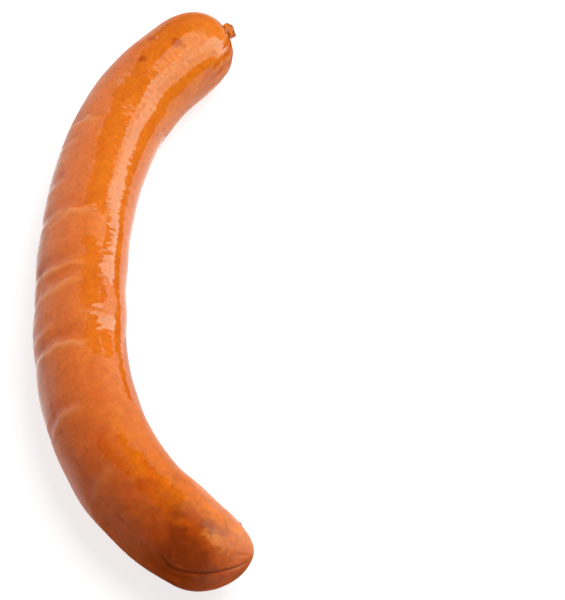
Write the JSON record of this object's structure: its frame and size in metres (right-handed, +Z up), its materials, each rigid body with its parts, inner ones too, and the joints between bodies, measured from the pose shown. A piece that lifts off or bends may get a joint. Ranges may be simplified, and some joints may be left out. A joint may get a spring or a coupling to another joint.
{
  "type": "cooked frankfurter sausage link",
  "caption": "Long slim cooked sausage in a natural casing, curved like a bow, with a blunt end that keeps a short twisted stub of casing and a pointed end. It lies on its side.",
  "frame": {"origin": "middle of the box around the link, on the surface it lies on", "axes": "+Z up, +Y from the pointed near end towards the blunt far end with the stub, and +X towards the side that the link bends round"},
  "size_m": [0.0566, 0.1738, 0.0239],
  "materials": {
    "casing": "smooth wet-looking smoked casing, orange brown, with fine cross wrinkles and a dark stub"
  },
  "bodies": {
    "root": {"sausage": "casing"}
  },
  "joints": []
}
